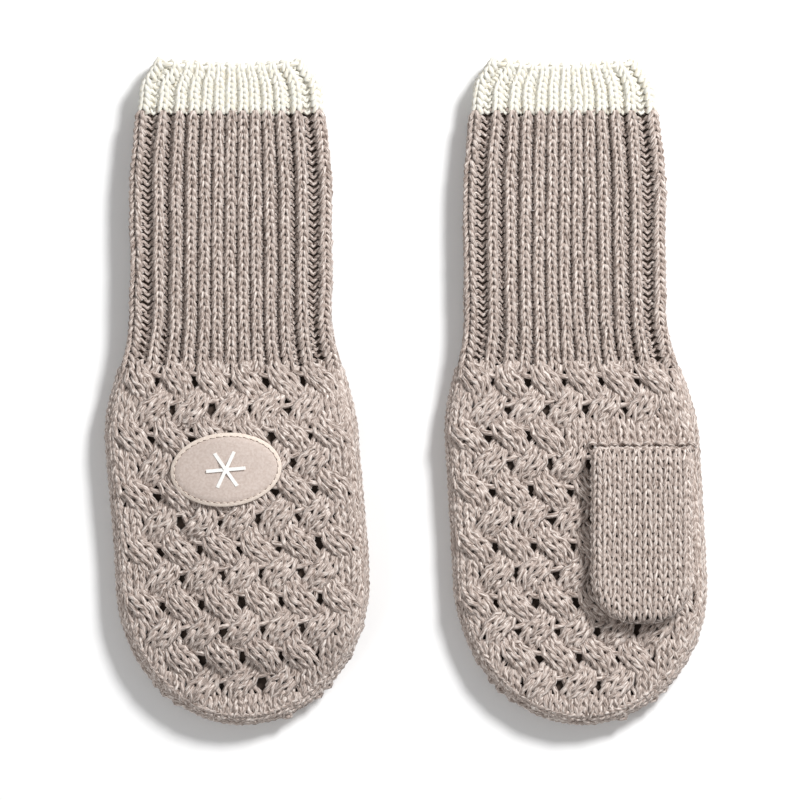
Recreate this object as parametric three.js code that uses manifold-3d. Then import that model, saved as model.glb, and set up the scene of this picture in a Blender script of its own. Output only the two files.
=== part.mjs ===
// A pair of knitted mittens for a small child, lying flat side by side with their openings towards +Y.
// Each is one hollow flattened tube: a pale ribbed band, a ribbed cuff, two cabled hand panels joined
// by an edge seam, and a thumb pouch picked up round a slit in the palm panel.
// The right mitten lies palm down over its own thumb, the left one palm up. Millimetres, +Z up.
import * as THREE from 'three';
import { mergeVertices } from 'three/addons/utils/BufferGeometryUtils.js';
import Module from 'manifold-3d';

// ---- driving sizes ----
const GAP = 0.3; // clearance between pieces that meet
const LAY = 0.5; // clearance between curved pieces that lie along each other
const FABRIC = 3.5; // thickness of the ribbed and cabled knitting
const THICKNESS = 13; // the whole mitten lying flat, both layers and the room between them

const CUFF_LENGTH = 82; // ribbed cuff, wrist to pale band
const BAND_LENGTH = 16.2; // pale band
const HAND_LENGTH = 114; // wrist to finger tip
const TIP_LENGTH = 46.7; // the rounded end of the hand, half an ellipse

const HAND_WIDTH = 81.6;
const CUFF_WIDTH = 66;
const BAND_WIDTH = 59;
const OPENING_WIDTH = 49; // the band draws in at its edge
const WRIST_FLARE = [-22, 18]; // the cuff widens into the hand between these heights
const BAND_FLARE = [18, 24]; // how far below the opening the cuff narrows: its middle and its half length
const EDGE_FLARE = 12; // length of the drawn-in edge

const EDGE_SEAM = 3; // width of the plain column between the two hand panels

const THUMB_WIDTH = 34.5;
const THUMB_LENGTH = 51; // from its hinge line to its end
const THUMB_TIP = 17; // its rounded end, half an ellipse
const THUMB_THICKNESS = 8.4;
const THUMB_FABRIC = 1.8;
const THUMB_DROP = 30; // wrist line to the thumb's hinge line
const THUMB_INSET = 2; // thumb's outer side to the hand's side
const MOUTH_LIP = 3.6; // the thumb's mouth reaches this far past its hinge line
const SLIT = 8; // the palm's slit, along the hand
const PICKUP = 2; // diameter of the picked-up row along the thumb's base

const PATCH = { width: 35.5, height: 23.4, thickness: 1, drop: 32.2, side: -2.4, turn: 5 };
const STITCH = { inset: 1.5, width: 0.6, height: 0.5 };
const MARK = { radius: 7, width: 1.3, height: 0.4 };

const DRAPE = { side: 38, end: 23 }; // how far round the hidden thumb the mitten over it is lifted
const SQUEEZE = 1.2; // the room inside is this much less over the hidden thumb
const PAIR_SPACING = 106.4; // between the two mittens' wrist centres

// ---- fineness of the facets ----
const SIDE_STEPS = 4; // round each folded side
const FLAT_STEPS = 3; // across a thumb's layer
const CUFF_ROWS = 13;
const THUMB_ROWS = 6;
const FLAT = { across: FLAT_STEPS, hand: 8, tip: 9 }; // a mitten that lies flat
const DRAPED = { across: 10, hand: 14, tip: 12 }; // one that is lifted over its thumb

// lean bends a mitten's centre line to +X between two heights
const MITTENS = [
  {
    name: 'right',
    x: -PAIR_SPACING / 2,
    palmUp: false,
    steps: DRAPED,
    lean: { by: 3.8, from: -10, to: -72 },
  },
  {
    name: 'left',
    x: PAIR_SPACING / 2,
    palmUp: true,
    steps: FLAT,
    lean: { by: 5.8, from: 40, to: -100 },
  },
];

const MATERIALS = {
  taupe: new THREE.MeshStandardMaterial({ color: 0xb3a59c, roughness: 0.95, metalness: 0 }),
  cream: new THREE.MeshStandardMaterial({ color: 0xf0eee4, roughness: 0.95, metalness: 0 }),
  seam: new THREE.MeshStandardMaterial({ color: 0xa89a90, roughness: 0.95, metalness: 0 }),
  patch: new THREE.MeshStandardMaterial({ color: 0xd9cac0, roughness: 0.85, metalness: 0 }),
  thread: new THREE.MeshStandardMaterial({ color: 0xe2d4ca, roughness: 0.8, metalness: 0 }),
  print: new THREE.MeshStandardMaterial({ color: 0xf6f4f0, roughness: 0.7, metalness: 0 }),
};

const wasm = await Module();
wasm.setup();

// ---- closed meshes to solids and back, for joins and cuts ----
function toSolid(geometry) {
  const bare = geometry.clone();
  bare.deleteAttribute('normal');
  bare.deleteAttribute('uv');
  const merged = mergeVertices(bare, 1e-4);
  return new wasm.Manifold(
    new wasm.Mesh({
      numProp: 3,
      vertProperties: new Float32Array(merged.attributes.position.array),
      triVerts: new Uint32Array(merged.index.array),
    }),
  );
}

function toGeometry(solid) {
  const mesh = solid.getMesh();
  const geometry = new THREE.BufferGeometry();
  geometry.setAttribute('position', new THREE.BufferAttribute(mesh.vertProperties, 3));
  geometry.setIndex(new THREE.BufferAttribute(mesh.triVerts, 1));
  geometry.computeVertexNormals();
  return geometry;
}

// A box between two corners.
function block(low, high) {
  const size = high.map((value, i) => value - low[i]);
  const geometry = new THREE.BoxGeometry(...size);
  geometry.translate(...low.map((value, i) => value + size[i] / 2));
  return toSolid(geometry);
}

const smoothstep = THREE.MathUtils.smoothstep;

// A closed solid through rings of points, each ring in a plane of constant y and closed by a fan.
function loft(rings) {
  const count = rings[0].length;
  const middle = (ring) =>
    ring.reduce((sum, p) => sum.add(p), new THREE.Vector3()).divideScalar(ring.length);
  const points = [...rings.flat(), middle(rings[0]), middle(rings[rings.length - 1])];
  const index = [];
  for (let i = 0; i < rings.length - 1; i++) {
    for (let j = 0; j < count; j++) {
      const a = i * count + j;
      const b = i * count + ((j + 1) % count);
      index.push(a, b, a + count, b, b + count, a + count);
    }
  }
  const last = (rings.length - 1) * count;
  for (let j = 0; j < count; j++) {
    const next = (j + 1) % count;
    index.push(points.length - 2, next, j, points.length - 1, last + j, last + next);
  }
  const geometry = new THREE.BufferGeometry().setFromPoints(points);
  geometry.setIndex(index);
  return geometry;
}

// A flattened round section: two flat layers joined by half circles at the sides.
function section(x, y, z, halfWidth, halfHeight, steps) {
  const round = Math.min(halfHeight, halfWidth * 0.98);
  const flat = halfWidth - round;
  const ring = [];
  const arc = (side, start) => {
    for (let i = 0; i <= SIDE_STEPS; i++) {
      const angle = start + (Math.PI * i) / SIDE_STEPS;
      const out = side * flat + round * Math.cos(angle);
      ring.push(new THREE.Vector3(x + out, y, z + halfHeight * Math.sin(angle)));
    }
  };
  const run = (side) => {
    for (let i = 1; i < steps; i++) {
      const across = side * flat * (1 - (2 * i) / steps);
      ring.push(new THREE.Vector3(x + across, y, z + side * halfHeight));
    }
  };
  arc(1, -Math.PI / 2);
  run(1);
  arc(-1, Math.PI / 2);
  run(-1);
  return ring;
}

// How far a round edge of a given radius has risen at a distance in from its end.
function roundEnd(radius, distance) {
  const left = radius - Math.min(distance, radius);
  return Math.sqrt(Math.max(radius * radius - left * left, 0));
}

// ---- the mitten's outline ----
const TOP = CUFF_LENGTH + BAND_LENGTH;
const TIP_START = HAND_LENGTH - TIP_LENGTH;

function centreLine(lean, y) {
  return lean.by * smoothstep(lean.from - y, 0, lean.from - lean.to);
}

function halfWidthAbove(y) {
  const neck = TOP - BAND_FLARE[0];
  const toCuff = smoothstep(y, WRIST_FLARE[0], WRIST_FLARE[1]);
  const toBand = smoothstep(y, neck - BAND_FLARE[1], TOP);
  const toEdge = smoothstep(y, TOP - EDGE_FLARE, TOP);
  const width =
    HAND_WIDTH -
    (HAND_WIDTH - CUFF_WIDTH) * toCuff -
    (CUFF_WIDTH - BAND_WIDTH) * toBand -
    (BAND_WIDTH - OPENING_WIDTH) * toEdge;
  return width / 2;
}

// One skin of the mitten, drawn in from its outside by inset, open end carried past by extra.
function skin(mitten, inset, extra) {
  const steps = mitten.steps;
  const ys = [TOP + extra];
  for (let i = 0; i < CUFF_ROWS; i++) ys.push(TOP * (1 - i / CUFF_ROWS));
  for (let i = 0; i < steps.hand; i++) ys.push((-TIP_START * i) / steps.hand);
  const half = THICKNESS / 2 - inset;
  const ring = (y, w, h) =>
    section(mitten.x + centreLine(mitten.lean, y), y, THICKNESS / 2, w, h, steps.across);
  const rings = ys
    .filter((y, i) => i === 0 || y < ys[i - 1] - 1e-6)
    .map((y) => ring(y, halfWidthAbove(y) - inset, half));
  const reach = TIP_LENGTH - inset;
  for (let i = 0; i <= steps.tip; i++) {
    const angle = (i / steps.tip) * THREE.MathUtils.degToRad(88.5);
    const y = -TIP_START - reach * Math.sin(angle);
    const w = (HAND_WIDTH / 2 - inset) * Math.cos(angle);
    rings.push(ring(y, w, roundEnd(half, reach * (1 - Math.sin(angle)))));
  }
  return toSolid(loft(rings));
}

// ---- the thumb pouch, hinge line at the origin, mouth down, its end towards -Y ----
function thumbSkin(inset) {
  const radius = THUMB_THICKNESS / 2 - inset;
  const side = THUMB_WIDTH / 2 - inset;
  const ring = (y, w, h) => section(0, y, 0, w, h, FLAT_STEPS);
  const rings = [];
  for (let i = 0; i < SIDE_STEPS; i++) {
    const angle = THREE.MathUtils.degToRad(86) * (1 - i / SIDE_STEPS);
    rings.push(ring(radius * Math.sin(angle), side, radius * Math.cos(angle)));
  }
  const straight = THUMB_LENGTH - THUMB_TIP;
  const reach = THUMB_TIP - inset;
  rings.push(ring(0, side, radius));
  for (let i = 0; i <= THUMB_ROWS; i++) {
    const angle = THREE.MathUtils.degToRad(88) * (i / THUMB_ROWS);
    const end = reach * (1 - Math.sin(angle));
    const y = -straight - reach * Math.sin(angle);
    rings.push(ring(y, side * Math.cos(angle), roundEnd(radius, end)));
  }
  return toSolid(loft(rings));
}

function thumbPouch() {
  const side = THUMB_WIDTH / 2 - THUMB_FABRIC - 1;
  const mouth = block([-side, -MOUTH_LIP, -THUMB_THICKNESS], [side, THUMB_THICKNESS, 0]);
  return toGeometry(thumbSkin(0).subtract(thumbSkin(THUMB_FABRIC)).subtract(mouth));
}

// The row of loops picked up along the straight side of the thumb's base.
function pickupRow() {
  const row = new THREE.CapsuleGeometry(PICKUP / 2, THUMB_WIDTH - PICKUP, 4, 10);
  row.rotateZ(Math.PI / 2);
  return row;
}

// ---- the sewn patch and what is on it, its underside at z = 0 ----
function disc(width, height, low, high) {
  const radii = [0, 0.35, 0.7, 1];
  const under = radii.map((radius) => new THREE.Vector2(radius, low));
  const over = radii.map((radius) => new THREE.Vector2(radius, high)).reverse();
  const shape = new THREE.LatheGeometry([...under, ...over], 28);
  shape.rotateX(Math.PI / 2);
  return shape.scale(width / 2, height / 2, 1);
}

function ovalBetween(outer, inner, low, high) {
  const rim = (inset, from, to) => {
    const shape = new THREE.Shape();
    const [a, b] = [PATCH.width / 2 - inset, PATCH.height / 2 - inset];
    shape.absellipse(0, 0, a, b, 0, 2 * Math.PI);
    const options = { depth: to - from, bevelEnabled: false, curveSegments: 28 };
    return toSolid(new THREE.ExtrudeGeometry(shape, options).translate(0, 0, from));
  };
  return toGeometry(rim(outer, low, high).subtract(rim(inner, low - 1, high + 1)));
}

// A plain six-armed star, each arm a bar through the middle.
function star(low, high) {
  const bar = (i) => {
    const arm = new THREE.BoxGeometry(2 * MARK.radius, MARK.width, high - low);
    return toSolid(arm.rotateZ((i * Math.PI) / 3).translate(0, 0, (low + high) / 2));
  };
  return toGeometry(bar(0).add(bar(1)).add(bar(2)));
}

// ---- building a mitten ----
const group = new THREE.Group();

function place(name, geometry, material) {
  const mesh = new THREE.Mesh(geometry, material);
  mesh.name = name;
  group.add(mesh);
}

// Lifts what lies over the hidden thumb, fading to nothing away from it.
function drape(geometry, thumb) {
  const position = geometry.attributes.position;
  const lift = THUMB_THICKNESS + GAP;
  for (let i = 0; i < position.count; i++) {
    const outX = Math.max(Math.abs(position.getX(i) - thumb.x) - THUMB_WIDTH / 2, 0);
    const toBase = position.getY(i) - thumb.y - THUMB_THICKNESS / 2 - PICKUP;
    const toEnd = thumb.y - THUMB_LENGTH - position.getY(i);
    const outY = Math.max(toBase, toEnd, 0);
    const over = 1 - smoothstep(Math.hypot(outX / DRAPE.side, outY / DRAPE.end), 0, 1);
    const z = position.getZ(i);
    position.setZ(i, z + over * (lift - (SQUEEZE * z) / THICKNESS));
  }
  geometry.computeVertexNormals();
  return geometry;
}

function buildMitten(mitten) {
  const shell = skin(mitten, 0, 0).subtract(skin(mitten, FABRIC, 1));
  const side = HAND_WIDTH + mitten.x;
  const between = (lowY, highY, lowZ, highZ) =>
    shell.intersect(block([mitten.x - HAND_WIDTH, lowY, lowZ], [side, highY, highZ]));
  const [under, over] = [-1, THICKNESS + 1];
  const middle = THICKNESS / 2;
  const half = EDGE_SEAM / 2;
  const tip = -HAND_LENGTH - 1;
  const wrist = -GAP / 2;

  const band = between(CUFF_LENGTH + GAP / 2, TOP + 1, under, over);
  const cuff = between(GAP / 2, CUFF_LENGTH - GAP / 2, under, over);
  const seam = between(tip, wrist, middle - half, middle + half);
  const upper = between(tip, wrist, middle + half + LAY, over);
  const lower = between(tip, wrist, under, middle - half - LAY);

  // the thumb stands on the palm panel, near the hand's +X side
  const palmSign = mitten.palmUp ? 1 : -1;
  const axisY = -THUMB_DROP;
  const sideX = centreLine(mitten.lean, axisY) + HAND_WIDTH / 2;
  const thumb = { x: mitten.x + sideX - THUMB_INSET - THUMB_WIDTH / 2, y: axisY };
  const clear = GAP + THUMB_THICKNESS / 2;
  const thumbZ = mitten.palmUp ? THICKNESS + clear : THUMB_THICKNESS / 2;
  const slitHalf = THUMB_WIDTH / 2 - THICKNESS / 2;
  const slit = block(
    [thumb.x - slitHalf, thumb.y - SLIT / 2, mitten.palmUp ? middle : under],
    [thumb.x + slitHalf, thumb.y + SLIT / 2, mitten.palmUp ? over : middle],
  );
  const turnOver = (geometry) => (mitten.palmUp ? geometry : geometry.rotateY(Math.PI));
  const pouch = turnOver(thumbPouch()).translate(thumb.x, thumb.y, thumbZ);

  const rowY = thumb.y + THUMB_THICKNESS / 2 + GAP + PICKUP / 2;
  const palmFace = mitten.palmUp ? THICKNESS : 0;
  const row = pickupRow().translate(thumb.x, rowY, palmFace + palmSign * (GAP + PICKUP / 2));

  // the patch is sewn to the back panel: on top of the right mitten, under the left one
  const stitchLow = PATCH.thickness + LAY;
  const stackHeight = stitchLow + STITCH.height;
  const patchX = mitten.x + centreLine(mitten.lean, -PATCH.drop) + PATCH.side * -palmSign;
  const patchZ = mitten.palmUp ? stackHeight : THICKNESS + LAY;
  const onBack = (geometry) => {
    geometry.rotateZ(THREE.MathUtils.degToRad(PATCH.turn));
    if (mitten.palmUp) geometry.rotateY(Math.PI);
    return geometry.translate(patchX, -PATCH.drop, patchZ);
  };
  const patch = onBack(disc(PATCH.width, PATCH.height, 0, PATCH.thickness));
  const inner = STITCH.inset + STITCH.width;
  const stitching = onBack(ovalBetween(STITCH.inset, inner, stitchLow, stackHeight));
  const mark = onBack(star(stitchLow, stitchLow + MARK.height));
  const grown = 2 * GAP;
  const recess = onBack(disc(PATCH.width + grown, PATCH.height + grown, -GAP, stackHeight + 1));

  let palm = (mitten.palmUp ? upper : lower).subtract(slit);
  let back = mitten.palmUp ? lower.subtract(toSolid(recess)) : upper;
  palm = toGeometry(palm);
  back = toGeometry(back);
  const pieces = {
    cast_on_band: [toGeometry(band), MATERIALS.cream],
    rib_cuff: [toGeometry(cuff), MATERIALS.taupe],
    hand_back: [back, MATERIALS.taupe],
    hand_palm: [palm, MATERIALS.taupe],
    edge_seam: [toGeometry(seam), MATERIALS.seam],
    thumb_pickup_row: [row, MATERIALS.seam],
    patch: [patch, MATERIALS.patch],
    patch_stitching: [stitching, MATERIALS.thread],
    patch_mark: [mark, MATERIALS.print],
  };
  for (const [name, [geometry, material]] of Object.entries(pieces)) {
    place(`${mitten.name}_${name}`, mitten.palmUp ? geometry : drape(geometry, thumb), material);
  }
  place(`${mitten.name}_thumb`, pouch, MATERIALS.taupe);
}

MITTENS.forEach(buildMitten);

// the origin is under the middle of the pair
const middleOfPair = new THREE.Box3().setFromObject(group).getCenter(new THREE.Vector3());
group.position.set(-middleOfPair.x, -middleOfPair.y, 0);

const part = new THREE.Group();
part.add(group);
export default part;
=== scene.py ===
import math

import bpy
import numpy as np
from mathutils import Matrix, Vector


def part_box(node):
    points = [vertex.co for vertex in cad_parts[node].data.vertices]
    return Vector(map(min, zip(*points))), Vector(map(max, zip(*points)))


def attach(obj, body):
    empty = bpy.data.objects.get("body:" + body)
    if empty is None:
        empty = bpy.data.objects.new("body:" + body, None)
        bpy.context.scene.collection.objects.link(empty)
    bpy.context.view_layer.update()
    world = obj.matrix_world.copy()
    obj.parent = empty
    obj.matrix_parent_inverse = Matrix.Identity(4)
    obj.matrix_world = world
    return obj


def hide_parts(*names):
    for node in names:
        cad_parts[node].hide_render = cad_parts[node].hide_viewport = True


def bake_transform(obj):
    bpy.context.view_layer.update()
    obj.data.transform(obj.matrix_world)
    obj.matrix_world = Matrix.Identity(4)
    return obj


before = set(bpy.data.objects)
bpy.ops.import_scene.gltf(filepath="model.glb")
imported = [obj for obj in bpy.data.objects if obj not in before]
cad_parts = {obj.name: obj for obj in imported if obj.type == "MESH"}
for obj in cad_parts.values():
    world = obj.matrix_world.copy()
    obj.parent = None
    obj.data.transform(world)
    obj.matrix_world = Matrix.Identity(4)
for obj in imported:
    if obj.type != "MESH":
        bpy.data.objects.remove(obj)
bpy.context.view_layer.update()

# ---------------------------------------------------------------- floor, light and camera
# A plain pale sheet of board under the pair, a large soft lamp up and to one side, pale surroundings,
# and a camera straight above with a long lens.
MM = 0.001
FLOOR_SIDE = 6.0
bpy.ops.object.select_all(action="DESELECT")
bpy.ops.mesh.primitive_plane_add(size=FLOOR_SIDE, location=(0, 0, 0))
floor = bpy.context.object
floor.name = "floor"
floor_paint = bpy.data.materials.new("floor_paint")
floor_paint.use_nodes = True
floor_shader = floor_paint.node_tree.nodes["Principled BSDF"]
floor_shader.inputs["Base Color"].default_value = (0.96, 0.96, 0.96, 1)
floor_shader.inputs["Roughness"].default_value = 0.9
floor.data.materials.append(floor_paint)

SURROUNDINGS_STRENGTH = 0.36
surroundings = bpy.data.worlds.new("surroundings")
surroundings.use_nodes = True
background = surroundings.node_tree.nodes["Background"]
background.inputs["Color"].default_value = (1, 1, 1, 1)
background.inputs["Strength"].default_value = SURROUNDINGS_STRENGTH
bpy.context.scene.world = surroundings


def soft_lamp(name, place, size, watts):
    """A round lamp at a place in metres, turned to face the middle of the pair."""
    bpy.ops.object.light_add(type="AREA", location=place)
    lamp = bpy.context.object
    lamp.name = name
    lamp.data.shape = "DISK"
    lamp.data.size = size
    lamp.data.energy = watts
    aim = -np.array(place) / np.linalg.norm(place)
    lamp.rotation_euler = (math.acos(-aim[2]), 0, math.atan2(-aim[0], aim[1]))


soft_lamp("key_lamp", place=(0.68, 0.75, 1.05), size=0.36, watts=22.5)
soft_lamp("fill_lamp", place=(-0.9, -0.5, 1.3), size=0.8, watts=3.5)

VIEW_WIDTH = 0.256
VIEW_MIDDLE = (-1.9 * MM, -2.2 * MM)
CAMERA_HEIGHT = 2.4
SENSOR_WIDTH = 36
FARTHEST_SEEN = 20
camera_data = bpy.data.cameras.new("camera")
camera_data.sensor_width = SENSOR_WIDTH
camera_data.lens = SENSOR_WIDTH * CAMERA_HEIGHT / VIEW_WIDTH
camera_data.clip_end = FARTHEST_SEEN
camera = bpy.data.objects.new("camera", camera_data)
camera.location = (*VIEW_MIDDLE, CAMERA_HEIGHT)
bpy.context.scene.collection.objects.link(camera)
bpy.context.scene.camera = camera
bpy.context.scene.view_settings.view_transform = "Standard"

# ---------------------------------------------------------------- rib cuffs
# Each cuff is a tube of heather wool in one-and-one rib, knitted down from the pale edge to the wrist.
# Plain columns of V shaped stitches stand proud; the purl columns between them sink, and open at the
# sides. Lengths are in millimetres from here on, and heights are over the wrist, until a mesh is made.
chance = np.random.default_rng(7)
THICKNESS = 13.0
CUFF_LENGTH = 82.0
BAND_LENGTH = 16.2
TOP = CUFF_LENGTH + BAND_LENGTH
HAND_LENGTH = 114.0
TIP_LENGTH = 46.7
TIP_START = HAND_LENGTH - TIP_LENGTH
HAND_WIDTH, CUFF_WIDTH, BAND_WIDTH, OPENING_WIDTH = 81.6, 66.0, 59.0, 49.0
WRIST_FLARE = (-22, 18)  # the hand narrows to the cuff between these heights
CUFF_TAPER = 42  # the cuff narrows to the band over this length
MOUTH_TAPER, MOUTH_OVERRUN = 9, 1
SIDE_SPREAD = 1.5  # the folded sides are pressed out a little past a half circle
LEAST_FLAT = 0.1
WRIST_CLEARANCE = 0.15  # the cuff starts this far over the wrist line
LEANS = {"right": (3.8, -10.0, -72.0), "left": (5.8, 40.0, -100.0)}  # how far aside, from, to
DRAPE_ASIDE, DRAPE_ALONG = 38, 23  # how far the fabric takes to come down beside the thumb
DRAPE_START = 2
DRAPE_CLEARANCE, DRAPE_SQUASH = 0.3, 1.2


def box_of(node):
    low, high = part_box(node)
    return np.array(low) / MM, np.array(high) / MM


def smooth(x, low, high):
    t = np.clip((np.asarray(x, float) - low) / (high - low), 0, 1)
    return t * t * (3 - 2 * t)


def half_width(y):
    """Half the mitten's width at a height over the wrist; the finger end is half an ellipse."""
    width = (
        HAND_WIDTH
        - (HAND_WIDTH - CUFF_WIDTH) * smooth(y, *WRIST_FLARE)
        - (CUFF_WIDTH - BAND_WIDTH) * smooth(y, TOP - CUFF_TAPER, TOP)
        - (BAND_WIDTH - OPENING_WIDTH) * smooth(y, TOP - MOUTH_TAPER, TOP + MOUTH_OVERRUN)
    )
    out = np.clip((-TIP_START - y) / TIP_LENGTH, 0, 1)
    return 0.5 * width * np.sqrt(1 - out * out)


class Mitten:
    """Where one mitten lies, read from the boxes of its solids."""

    def __init__(self, side):
        self.side = side
        band_low, band_high = box_of(f"{side}_cast_on_band")
        cuff_low, cuff_high = box_of(f"{side}_rib_cuff")
        self.x = (band_low[0] + band_high[0]) / 2
        self.wrist = cuff_low[1] - WRIST_CLEARANCE
        self.lean = LEANS[side]
        self.thumb_low, self.thumb_high = box_of(f"{side}_thumb")
        self.patch_low, self.patch_high = box_of(f"{side}_patch")
        self.palm_up = side == "left"

    def middle(self, y):
        """The middle line, which leans aside on its way down the hand."""
        by, start, end = self.lean
        return self.x + by * smooth(start - y, 0, start - end)

    def to_world(self, points):
        """From heights over the wrist to the shared frame, draped over a thumb that lies beneath."""
        out = np.array(points, float)
        out[..., 1] += self.wrist
        if self.palm_up:
            return out
        low, high = self.thumb_low, self.thumb_high
        off_x = np.maximum(np.abs(out[..., 0] - (low[0] + high[0]) / 2) - (high[0] - low[0]) / 2, 0)
        off_y = np.maximum(np.maximum(out[..., 1] - high[1] - DRAPE_START, low[1] - out[..., 1]), 0)
        over = 1 - smooth(np.hypot(off_x / DRAPE_ASIDE, off_y / DRAPE_ALONG), 0, 1)
        out[..., 2] += over * (high[2] + DRAPE_CLEARANCE - DRAPE_SQUASH * out[..., 2] / THICKNESS)
        return out


MITTENS = [Mitten("right"), Mitten("left")]


def flat_part(y):
    return np.maximum(half_width(y) - THICKNESS / 2 + SIDE_SPREAD, LEAST_FLAT)


def half_round(y, inset):
    """Half the way round the mitten at a height, inset from its surface."""
    return 2 * flat_part(y) + math.pi * (THICKNESS / 2 - inset)


def round_section(mitten, s, y, inset):
    """Place and outward normal at arc length s round the mitten from the middle of its upper face."""
    radius = THICKNESS / 2 - inset
    flat = flat_part(y)
    half = 2 * flat + math.pi * radius
    s = np.mod(s + half, 2 * half) - half
    side, run = np.sign(s), np.abs(s)
    turn = np.clip((run - flat) / radius, 0, math.pi)
    past = np.clip(run - flat - math.pi * radius, 0, None)
    x = side * (np.minimum(run, flat) - past + radius * np.sin(turn))
    z = THICKNESS / 2 + radius * np.cos(turn)
    place = np.stack([mitten.middle(y) + x, y + 0 * x, z], -1)
    normal = np.stack([side * np.sin(turn), 0 * x, np.cos(turn)], -1)
    return place, normal


YARN_SIDES = 5
YARN_END = 0.25  # an open yarn's ends shrink to this share of its thickness


class Piece:
    """Gathers yarns and closed shells and makes one mesh of them.

    A triangle is kept as a quad that gives its last corner twice.
    """

    def __init__(self):
        self.points, self.quads, self.marks, self.finish = [], [], [], []
        self.count = 0

    def add(self, points, quads, marks, finish=0):
        """Marks are one UV place for each corner; finish is the number of the material."""
        self.points.append(points.reshape(-1, 3))
        self.quads.append(quads + self.count)
        self.marks.append(marks)
        self.finish.append(np.full(len(quads), finish))
        self.count += points.size // 3

    def yarn(self, path, normal, radius, closed):
        """Sweeps a round yarn along each path of an array of paths with as many points each."""
        (paths, steps), sides = path.shape[:2], YARN_SIDES
        if closed:
            ahead, behind = np.roll(path, -1, 1), np.roll(path, 1, 1)
        else:
            ahead = np.concatenate([path[:, 1:], 2 * path[:, -1:] - path[:, -2:-1]], 1)
            behind = np.concatenate([2 * path[:, :1] - path[:, 1:2], path[:, :-1]], 1)
        along = ahead - behind
        along /= np.linalg.norm(along, axis=-1, keepdims=True)
        across = np.cross(along, normal)
        across /= np.maximum(np.linalg.norm(across, axis=-1, keepdims=True), 1e-9)
        up = np.cross(across, along)
        angle = 2 * math.pi * np.arange(sides) / sides
        size = np.broadcast_to(np.asarray(radius, float), path.shape[:2]).copy()
        if not closed:
            size[:, 0] *= YARN_END
            size[:, -1] *= YARN_END
        size, cos, sin = size[:, :, None, None], np.cos(angle)[:, None], np.sin(angle)[:, None]
        ring = path[:, :, None] + size * cos * across[:, :, None] + size * sin * up[:, :, None]
        lengths = np.linalg.norm(ahead - path, axis=-1)
        far = np.cumsum(lengths, 1)
        near = far - lengths
        start = chance.uniform(0, 500, (paths, 1))
        spans = steps if closed else steps - 1
        i = np.arange(spans)[:, None]
        j = np.arange(sides)[None, :]
        here, next_ring = i * sides, ((i + 1) % steps) * sides
        turn = (j + 1) % sides
        one = np.stack([here + j, next_ring + j, next_ring + turn, here + turn], -1).reshape(-1, 4)
        quads = (one[None] + (np.arange(paths) * steps * sides)[:, None, None]).reshape(-1, 4)
        u = np.stack([near, far, far, near], -1)[:, :spans, None, :] + start[:, :, None, None]
        u = np.broadcast_to(u, (paths, spans, sides, 4))
        v = np.stack([j, j, j + 1, j + 1], -1) / sides
        v = np.broadcast_to(v[None], (paths, spans, sides, 4))
        self.add(ring, quads, np.stack([u, v], -1).reshape(-1, 2))
        if not closed:
            self.cap(paths, steps)

    def cap(self, paths, steps):
        """Closes both five-sided ends of each open yarn just added with a quad and a triangle."""
        base = self.count - paths * steps * YARN_SIDES
        yarns = base + np.arange(paths)[:, None] * steps * YARN_SIDES
        last = yarns + (steps - 1) * YARN_SIDES
        ends = [yarns + [0, 1, 2, 3], yarns + [0, 3, 4, 4], last + [0, 3, 2, 1], last + [0, 4, 3, 3]]
        quads = np.concatenate(ends)
        self.quads.append(quads)
        self.marks.append(np.zeros((len(quads) * 4, 2)))
        self.finish.append(np.zeros(len(quads), int))

    def finished(self, name, materials):
        """The object, in metres, with the yarn's length and turn as its UV map."""
        points = np.concatenate(self.points) * MM
        quads = np.concatenate(self.quads)
        marks = np.concatenate(self.marks)
        finish = np.concatenate(self.finish)
        mesh = bpy.data.meshes.new(name)
        thin = quads[:, 2] == quads[:, 3]
        totals = np.where(thin, 3, 4)
        keep = np.ones(quads.shape, bool)
        keep[thin, 3] = False
        mesh.vertices.add(len(points))
        mesh.vertices.foreach_set("co", points.astype(np.float32).ravel())
        mesh.loops.add(int(totals.sum()))
        mesh.loops.foreach_set("vertex_index", quads[keep].astype(np.int32))
        mesh.polygons.add(len(quads))
        starts = np.concatenate([[0], np.cumsum(totals)[:-1]])
        mesh.polygons.foreach_set("loop_start", starts.astype(np.int32))
        mesh.polygons.foreach_set("material_index", finish.astype(np.int32))
        mesh.polygons.foreach_set("use_smooth", np.ones(len(quads), bool))
        layer = mesh.uv_layers.new(name="yarn_length")
        layer.data.foreach_set("uv", marks[keep.ravel()].astype(np.float32).ravel())
        for material in materials:
            mesh.materials.append(material)
        mesh.update(calc_edges=True)
        mesh.validate()
        piece = bpy.data.objects.new(name, mesh)
        bpy.context.scene.collection.objects.link(piece)
        return piece


def tint(r, g, b):
    """A colour given in the 0 to 255 scale of a colour card."""
    c = np.array([r, g, b]) / 255
    linear = np.where(c <= 0.04045, c / 12.92, ((c + 0.055) / 1.055) ** 2.4)
    return (*[float(v) for v in linear], 1)


FIBRE_SCALE = (0.42, 8.0)  # along the yarn for each millimetre, and for once round it
PLY_LENGTH = 3.4
TWIST_DEPTH = 0.4


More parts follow.
